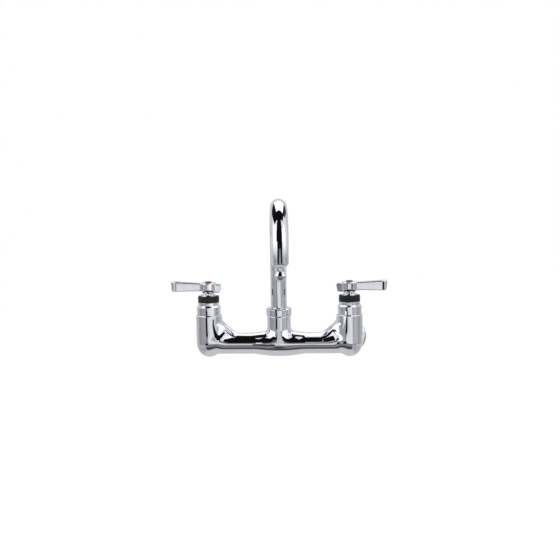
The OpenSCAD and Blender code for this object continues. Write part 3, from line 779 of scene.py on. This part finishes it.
def make_outlet_tip():
    """Lip at the outlet's end, with a spigot in the tube and a thread for the aerator."""
    lip_foot = outlet_rise - lip_h
    bore_r, throat_r, spigot_r = aerator_thread_r + run_gap, 5.4, tube_bore_r - run_gap
    washer_seat, spigot_top = 127.6, 132.8
    corners = [(bore_r, lip_foot, 0.3), (lip_foot_r, lip_foot, 0.6),
               (lip_bevel_r, lip_bevel_rise, 1.2), (tube_r, outlet_rise, 0.25),
               (spigot_r, outlet_rise), (spigot_r, spigot_top), (throat_r, spigot_top),
               (throat_r, washer_seat), (bore_r, washer_seat)]
    turned_piece("outlet_lip", corners, "spout", "chrome", "outlet_tip", turn=spout_swing,
                 reach=spout_reach)


def knurled(points, normals):
    """Points and normals with ridges cut into the collar of the aerator housing."""
    plain_end = 0.4
    crest_share = 0.05
    wall_slack, foot_slack = 0.2, 0.1
    x, y, z = points.T
    out = np.hypot(x, y)
    phase = (np.arctan2(y, x) * knurl_count / (2 * math.pi)) % 1 - 0.5
    fade = (np.clip((z - collar_foot - plain_end) / plain_end, 0, 1)
            * np.clip((collar_top - plain_end - z) / plain_end, 0, 1))
    on_wall = (out > collar_r - wall_slack) & (z > collar_foot - foot_slack)
    depth = np.where(on_wall, fade * knurl_depth, 0)
    scale = (out - 2 * np.abs(phase) * depth) / np.maximum(out, on_axis_r)
    half_pitch = math.pi * collar_r / knurl_count
    on_flank = (np.abs(phase) > crest_share) & (np.abs(phase) < 0.5 - crest_share)
    flank = np.where(on_flank, np.sign(phase), 0)
    tilt = np.arctan(depth / half_pitch) * flank
    c, s = np.cos(tilt), np.sin(tilt)
    nx, ny, nz = normals.T
    rise = depth * flank * np.sin((z - collar_foot) * 2 * math.pi / knurl_pitch)
    turned = np.column_stack([c * nx - s * ny, s * nx + c * ny, nz + rise])
    return (np.column_stack([x * scale, y * scale, z]),
            turned / np.linalg.norm(turned, axis=1)[:, None])


def make_aerator():
    """Aerator housing: rounded nozzle, knurled collar, and thread in the outlet's lip."""
    bore_r, lip_bore_r, lip_top = 5.2, 4.4, nozzle_foot + 1.4
    mouth_r, mouth_bevel_r, mouth_bevel_h = 5.9, 6.5, 0.8
    belly_edge_r, belly_foot, belly_middle, belly_top = 7.9, 104.6, 107.2, 109.6
    neck_out_r, neck_foot = 6.4, 112.9
    corners = [(lip_bore_r, nozzle_foot, 0.3), (mouth_r, nozzle_foot, 0.3),
               (mouth_bevel_r, nozzle_foot + mouth_bevel_h, 0.5),
               (belly_edge_r, belly_foot, 1.5), (nozzle_r, belly_middle, 2.0),
               (belly_edge_r, belly_top, 2.0), (neck_out_r, neck_foot, 0.8),
               (neck_out_r, collar_foot, 0.15), (collar_r, collar_foot, 0.3)]
    first_row, row_pitch, row_count = collar_foot + 0.5, 0.6, 9
    corners += [(collar_r, first_row + row_pitch * k, 0.05) for k in range(row_count)]
    corners += [(collar_r, collar_top, 0.3), (aerator_thread_r, collar_top),
                (aerator_thread_r, aerator_thread_top), (bore_r, aerator_thread_top),
                (bore_r, lip_top), (lip_bore_r, lip_top)]
    points, faces, normals = spun(corners, segments=knurl_count * 8)
    points, normals = knurled(points, normals)
    points, normals = at_swivel(points - np.array([0, spout_reach, 0]), normals, turn=spout_swing)
    piece = build("aerator_nozzle", points, faces, normals, "spout", "chrome", "aerator_housing")
    piece.data.materials[0] = turned_chrome


def make_flanges():
    """Wall flanges, each with a lipped shank for its coupling nut and a supply thread."""
    corners = [(inlet_bore_r, shank_start), (shank_lip_r, shank_start, 0.3),
               (shank_lip_r, shank_lip_end, 0.3), (shank_r, shank_lip_end),
               (shank_r, flange_front, 1.0), (flange_r, flange_front, 3.0),
               (flange_r, wall_reach, 0.3), (supply_r, wall_reach, 0.5), (supply_r, supply_start),
               (inlet_bore_r, supply_start)]
    points, faces, normals = spun(corners, segments=128)
    for name, side in SIDES.items():
        placed = at_tail(points, normals, side)
        piece = build(f"{name}_wall_flange", placed[0], faces, placed[1], "fixed_body", "chrome",
                      f"{name}_inlet_flange")
        piece.data.materials[0] = turned_chrome


# -------------------------------------------- inlet nuts and tube

def inlet_nut_distance(points):
    """Six-sided coupling nut round the Z axis, with chamfered corners."""
    corner_slope = 1.5
    side_edge, corner_edge = 0.5, 0.3
    x, y, z = points.T
    out = np.hypot(x, y)
    sides = np.maximum.reduce([x * math.cos(a) + y * math.sin(a) for a in
                               [k * math.pi / 3 + math.pi / 2 for k in range(6)]])
    middle, half = (inlet_nut_start + inlet_nut_end) / 2, (inlet_nut_end - inlet_nut_start) / 2
    chamfer = out - inlet_nut_af / 2 + (np.abs(z - middle) - half) * corner_slope
    chamfer = chamfer / math.hypot(1, corner_slope)
    solid = round_max(sides - inlet_nut_af / 2, np.abs(z - middle) - half, side_edge)
    solid = round_max(solid, chamfer, corner_edge)
    thread = np.maximum(out - tail_thread_r - run_gap, z - shank_lip_end)
    hollow = np.minimum(thread, out - shank_r - run_gap)
    return np.maximum(solid, -hollow)


def make_inlet_nuts():
    """Coupling nuts between the casting's tails and the wall flanges."""
    reach = inlet_nut_af / 2 + 4
    end_margin = 2
    low = (-reach, -reach, inlet_nut_start - end_margin)
    high = (reach, reach, inlet_nut_end + end_margin)
    points, faces, normals = surface(inlet_nut_distance, low, high, step=0.8)
    for name, side in SIDES.items():
        placed = at_tail(points, normals, side)
        build(f"{name}_coupling_nut", placed[0], faces, placed[1], "fixed_body", "chrome",
              f"{name}_inlet_nut")


def bent(points, normals):
    """Bends a straight tube: up to the bend, half round it, and down the outlet leg."""
    x, y, s = points.T
    nx, ny, ns = normals.T
    turn = np.clip((s - bend_rise) / bend_r, 0, math.pi)
    over = np.maximum(s - bend_rise - math.pi * bend_r, 0)
    rise = np.minimum(s, bend_rise)
    c, si = np.cos(turn), np.sin(turn)
    out_y = (bend_r + y) * c - bend_r
    out_z = rise + (bend_r + y) * si - over
    return (np.column_stack([x, out_y, out_z]),
            np.column_stack([nx, ny * c - ns * si, ny * si + ns * c]))


def make_spout():
    """Gooseneck tube, spun straight and then bent."""
    end = bend_rise + math.pi * bend_r + (bend_rise - outlet_rise)
    corners = [(tube_bore_r, tube_foot, 0.2), (tube_r, tube_foot, 0.3), (tube_r, end, 0.25),
               (tube_bore_r, end, 0.2)]
    points, faces, normals = spun(corners, longest=2.2)
    points, normals = bent(points, normals)
    points, normals = at_swivel(points, normals, turn=spout_swing)
    piece = build("gooseneck_tube", points, faces, normals, "spout", "chrome", "spout_tube")
    piece.data.materials[0] = tube_chrome


make_casting()
make_handles()
make_bonnets()
make_rings()
make_buttons()
make_swivel_nut()
make_outlet_tip()
make_aerator()
make_flanges()
make_inlet_nuts()
make_spout()

# The pieces that stay as CAD nodes get the finish that the record names for them
for part in frame["record"]["subparts"]:
    node = nodes[part["node"]]
    if not node.hide_render:
        node.data.materials.clear()
        node.data.materials.append(materials[part["material_slot"]])
for name in SIDES:
    nodes[f"{name}_stem"].data.materials[0] = turned_chrome


# -------------------------------------------- studio

def emptied_tree(owner):
    """Node tree of a material or a world, with nothing in it."""
    owner.use_nodes = True
    owner.node_tree.nodes.clear()
    return owner.node_tree


def card_light(name, one_sided=False):
    """Light in the tones painted on a card's corners; a one-sided card is clear from behind."""
    material = bpy.data.materials.new(name)
    tree = emptied_tree(material)
    tone = tree.nodes.new("ShaderNodeVertexColor")
    tone.layer_name = "tone"
    light = tree.nodes.new("ShaderNodeEmission")
    tree.links.new(tone.outputs["Color"], light.inputs["Color"])
    output = tree.nodes.new("ShaderNodeOutputMaterial")
    tree.links.new(light.outputs["Emission"], output.inputs["Surface"])
    if one_sided:
        side = tree.nodes.new("ShaderNodeNewGeometry")
        clear = tree.nodes.new("ShaderNodeBsdfTransparent")
        either = tree.nodes.new("ShaderNodeMixShader")
        tree.links.new(side.outputs["Backfacing"], either.inputs["Fac"])
        tree.links.new(light.outputs["Emission"], either.inputs[1])
        tree.links.new(clear.outputs["BSDF"], either.inputs[2])
        tree.links.new(either.outputs["Shader"], output.inputs["Surface"])
    material.cycles.emission_sampling = "NONE"
    return material


board_light = card_light("card_light")
front_light = card_light("one_sided_card_light", one_sided=True)


def card(name, corners, tones, light=board_light):
    """Studio card between four corners, in metres, that shows only in reflections."""
    mesh = bpy.data.meshes.new(name)
    mesh.from_pydata(corners, [], [(0, 1, 2, 3)])
    paint = mesh.color_attributes.new("tone", "FLOAT_COLOR", "CORNER")
    for spot, tone in zip(paint.data, tones):
        spot.color = (tone, tone, tone, 1)
    mesh.materials.append(light)
    board = linked(name, mesh)
    board.visible_camera = False
    board.visible_diffuse = False
    board.visible_shadow = False


def wall(name, start, end, low, high, tone, high_tone=None):
    """Upright card between two points of the plan and two levels, with a tone at its foot
    and one at its top."""
    top = tone if high_tone is None else high_tone
    card(name, [(*start, low), (*end, low), (*end, high), (*start, high)], (tone, tone, top, top))


def level_corners(x, y, level):
    """Corners of a level rectangle over a range of x and a range of y."""
    return [(x[0], y[0], level), (x[1], y[0], level), (x[1], y[1], level), (x[0], y[1], level)]


def shelf(name, x, y, level, tone, far_tone=None):
    """Level card with a tone at the start of its range of y and one at its end."""
    far = tone if far_tone is None else far_tone
    card(name, level_corners(x, y, level), (tone, tone, far, far))


# Tones of the cards, as strengths of light
BLACK = 0.006
FAINT = 0.04
DARK = 0.08
DIM = 0.15
SHADE = 0.28
MIDDLE = 0.43
SILVER = 0.56
PALE = 0.7
LIGHT = 0.95
BRIGHT = 1.5

table_level = -0.25
rim_low = 0.04
rim_high = 0.075
wall_top = 0.85


def make_flags():
    """Black flags in front of the faucet and over it, and a bright sky above them."""
    near = -0.45
    flag_top = 0.95
    wall("flag_front", (-0.065, near), (0.065, near), 0.118, flag_top, BLACK)
    wall("flag_front_left", (-0.215, near), (-0.065, near), 0.088, flag_top, BLACK)
    wall("flag_front_right", (0.065, near), (0.195, near), 0.088, flag_top, BLACK)
    wall("flag_left_wing", (-0.3, near), (-0.215, near), 0.135, flag_top, BLACK)
    wall("flag_left_low", (-0.165, -0.3), (-0.125, -0.3), 0.066, 0.1, BLACK)
    over = 0.26
    shelf("flag_over", (-0.17, 0.08), (-0.185, -0.13), over, BLACK)
    card("flag_over_left", [(-0.035, -0.13, over), (-0.17, -0.13, over), (-0.23, 0.1, over),
                            (-0.05, -0.03, over)], (BLACK, BLACK, FAINT, FAINT))
    card("flag_over_right", [(0.055, -0.13, over), (0.055, -0.02, over), (0.16, 0.04, over),
                             (0.11, -0.13, over)], (BLACK, FAINT, DIM, FAINT))
    shelf("sky", (-0.8, 0.8), (-0.1, 0.9), wall_top + 0.05, BRIGHT)


def make_front():
    """Pale strip low in front with a dark post in it, a haze above it that fades to black,
    and bright cards to both sides."""
    far = -1.0
    foot, head = -0.18, -0.02
    wall("strip_right", (0.03, far), (0.55, far), foot, head, LIGHT)
    wall("strip_middle", (-0.22, far), (0.03, far), foot, head, PALE, LIGHT)
    post_top, step_top = -0.085, -0.052
    wall("post_left", (-0.5, far), (-0.22, far), -0.3, post_top, BLACK)
    wall("post_left_top", (-0.5, far), (-0.28, far), post_top, 0.0, SHADE)
    wall("strip_left_foot", (-0.28, far), (-0.22, far), post_top, step_top, MIDDLE)
    wall("strip_left", (-0.28, far), (-0.22, far), step_top, head, LIGHT)
    wall("strip_far_right", (0.55, far), (0.8, far), foot, rim_low, MIDDLE)
    wall("bright_front_right", (0.36, far), (0.8, far), rim_high, wall_top, BRIGHT)
    wall("bright_front_left", (-0.5, far), (-0.38, far), rim_high, wall_top, BRIGHT)
    wall("haze_low", (-0.5, far), (0.5, far), head, 0.06, PALE, SHADE)
    wall("haze_high", (-0.5, far), (0.5, far), 0.06, 0.22, SHADE, BLACK)


def make_boards():
    """Grey boards round the sides, bright walls above them and a pale back."""
    places = [(-0.5, -1.0), (-0.95, -0.55), (-1.0, 0.0), (-0.9, 0.45), (-0.5, 0.9), (0.5, 0.9),
              (0.8, 0.6), (1.0, 0.2), (1.0, -0.35), (0.8, -1.0)]
    low_tones = [MIDDLE, 0.36, SILVER, PALE, LIGHT, PALE, SILVER, MIDDLE, SILVER]
    high_tones = [BRIGHT, BRIGHT, LIGHT, PALE, PALE, PALE, PALE, LIGHT, BRIGHT]
    for i, (low_tone, high_tone) in enumerate(zip(low_tones, high_tones)):
        start, end = places[i], places[i + 1]
        wall(f"board_{i}", start, end, -0.3, rim_low, low_tone)
        wall(f"rim_{i}", start, end, rim_low, rim_high, low_tone, high_tone)
        wall(f"bright_wall_{i}", start, end, rim_high, wall_top, high_tone)


def make_table():
    """Table under the faucet: strips across it that make the lines under the bar, wide ones
    in front and narrow ones behind them, and a pale card to each side of the narrow ones."""
    half, wide_half = 0.22, 0.9
    narrow_front, back = -0.42, 0.7
    strips = [(-1.7, -0.9, MIDDLE, SHADE), (-0.9, -0.66, DIM, DIM),
              (-0.66, narrow_front, SHADE, SHADE), (narrow_front, -0.34, SHADE, DIM),
              (-0.34, -0.24, DARK, FAINT), (-0.24, -0.18, DARK, PALE), (-0.18, back, PALE, PALE)]
    for i, (start, end, tone, far_tone) in enumerate(strips):
        reach = half if start >= narrow_front else wide_half
        shelf(f"table_{i}", (-reach, reach), (start, end), table_level, tone, far_tone)
    for side, far_tone in ((HOT, SILVER), (COLD, PALE)):
        corners = level_corners((side * half, side * wide_half), (narrow_front, back),
                                table_level)
        card(f"table_side_{side + 1}", corners, (MIDDLE, PALE, far_tone, LIGHT))


def make_glows():
    """Bright card close to each sloping web, clear from the spout's side."""
    back, back_low = -0.09, 0.018
    for side, front, low, front_top, back_top in ((HOT, -0.36, 0.06, 0.2, 0.1),
                                                  (COLD, -0.13, 0.026, 0.032, 0.04)):
        x = side * 0.062
        corners = [(x, front, low), (x, back, back_low), (x, back, back_top),
                   (x, front, front_top)]
        tones = [LIGHT, LIGHT, BRIGHT, BRIGHT]
        if side == HOT:
            corners.reverse()
            tones.reverse()
        card(f"glow_{side + 1}", corners, tones, front_light)


def make_small_cards():
    """Small cards in front of the levers' ends, the cold stub and the boss's foot, and two
    one-sided ones: beside the cold bonnet, seen from above, and at the hot web's foot."""
    wall("lever_flag", (0.166, -0.165), (0.22, -0.165), 0.06, 0.1, BLACK)
    wall("lever_fill", (-0.205, -0.098), (-0.165, -0.098), 0.055, 0.095, PALE)
    wall("stub_flag", (0.062, -0.1), (0.085, -0.1), 0.056, 0.086, SHADE)
    wall("boss_fill", (-0.012, -0.1272), (0.014, -0.1128), -0.002, 0.028, PALE)
    level = 0.039
    corners = [(0.056, -0.111, level), (0.0915, -0.0705, level), (0.08, -0.068, level),
               (0.056, -0.07, level)]
    card("bonnet_flag", corners, (MIDDLE,) * 4, front_light)
    x, near, far, low, high = -0.0622, -0.112, -0.094, -0.02, 0.029
    corners = [(x, near, low), (x, near, high), (x, far, high), (x, far, low)]
    card("seam_flag", corners, (BLACK,) * 4, front_light)


def make_floor():
    """Pale floor that shows white, and keeps the object's soft shadow."""
    reach, level = 4.0, -0.5
    mesh = bpy.data.meshes.new("floor")
    across = (-reach, reach)
    mesh.from_pydata(level_corners(across, across, level), [], [(0, 1, 2, 3)])
    floor = linked("floor", mesh)
    material = bpy.data.materials.new("pale_floor")
    tree = emptied_tree(material)
    paint = tree.nodes.new("ShaderNodeBsdfDiffuse")
    paint.inputs["Color"].default_value = (0.85, 0.85, 0.85, 1)
    glow = tree.nodes.new("ShaderNodeEmission")
    glow.inputs["Color"].default_value = (1, 1, 1, 1)
    tree.links.new(shown_rays(tree, 0.5), glow.inputs["Strength"])
    both = tree.nodes.new("ShaderNodeAddShader")
    tree.links.new(paint.outputs["BSDF"], both.inputs[0])
    tree.links.new(glow.outputs["Emission"], both.inputs[1])
    output = tree.nodes.new("ShaderNodeOutputMaterial")
    tree.links.new(both.outputs["Shader"], output.inputs["Surface"])
    material.cycles.emission_sampling = "NONE"
    mesh.materials.append(material)


def shown_rays(tree, level):
    """A strength that is level for camera, glossy and transmission rays, and 0 for others."""
    path = tree.nodes.new("ShaderNodeLightPath")
    strongest = path.outputs["Is Camera Ray"]
    for other in ("Is Glossy Ray", "Is Transmission Ray"):
        either = tree.nodes.new("ShaderNodeMath")
        either.operation = "MAXIMUM"
        tree.links.new(strongest, either.inputs[0])
        tree.links.new(path.outputs[other], either.inputs[1])
        strongest = either.outputs["Value"]
    scaled = tree.nodes.new("ShaderNodeMath")
    scaled.operation = "MULTIPLY"
    scaled.inputs[1].default_value = level
    tree.links.new(strongest, scaled.inputs[0])
    return scaled.outputs["Value"]


def make_world():
    """White to the camera and in reflections, and a plain grey level of light otherwise."""
    world = bpy.data.worlds.new("studio")
    bpy.context.scene.world = world
    tree = emptied_tree(world)
    light = tree.nodes.new("ShaderNodeBackground")
    light.inputs["Color"].default_value = (1, 1, 1, 1)
    light.inputs["Strength"].default_value = 0.62
    white = tree.nodes.new("ShaderNodeBackground")
    white.inputs["Color"].default_value = (1, 1, 1, 1)
    white.inputs["Strength"].default_value = 1.0
    mix = tree.nodes.new("ShaderNodeMixShader")
    tree.links.new(shown_rays(tree, 1.0), mix.inputs["Fac"])
    tree.links.new(light.outputs["Background"], mix.inputs[1])
    tree.links.new(white.outputs["Background"], mix.inputs[2])
    output = tree.nodes.new("ShaderNodeOutputWorld")
    tree.links.new(mix.outputs["Shader"], output.inputs["Surface"])


def make_lamp(name, place, size, watts):
    """Soft square lamp aimed at the faucet, which lights it but doesn't show in the chrome."""
    lamp = bpy.data.lights.new(name, "AREA")
    lamp.size = size
    lamp.energy = watts
    holder = linked(name, lamp)
    holder.location = place
    aim = Vector((0, -0.05, 0.06)) - Vector(place)
    holder.rotation_mode = "QUATERNION"
    holder.rotation_quaternion = aim.to_track_quat("-Z", "Y")
    holder.visible_glossy = False


def make_camera():
    """Camera on the photograph's side: a little to the cold side and above, tilted slightly."""
    azimuth, elevation, roll = math.radians(3.5), math.radians(6.3), math.radians(-0.9)
    distance = 1.5
    target = Vector((0.0022, -0.052, 0.0897))
    back = Vector((math.sin(azimuth) * math.cos(elevation),
                   -math.cos(azimuth) * math.cos(elevation), math.sin(elevation)))
    camera = bpy.data.cameras.new("camera")
    camera.lens = 67.1
    camera.sensor_width = 36.0
    holder = linked("camera", camera)
    holder.location = target + back * distance
    holder.rotation_mode = "QUATERNION"
    facing = (-back).to_track_quat("-Z", "Y")
    holder.rotation_quaternion = facing @ Quaternion((0, 0, 1), roll)
    bpy.context.scene.camera = holder


make_flags()
make_front()
make_boards()
make_table()
make_glows()
make_small_cards()
make_floor()
make_world()
make_lamp("key_lamp", (-0.7, -1.0, 1.1), 0.8, 5.0)
make_lamp("fill_lamp", (0.9, -0.9, 0.6), 0.8, 2.0)
make_camera()
bpy.context.scene.view_settings.view_transform = "Standard"
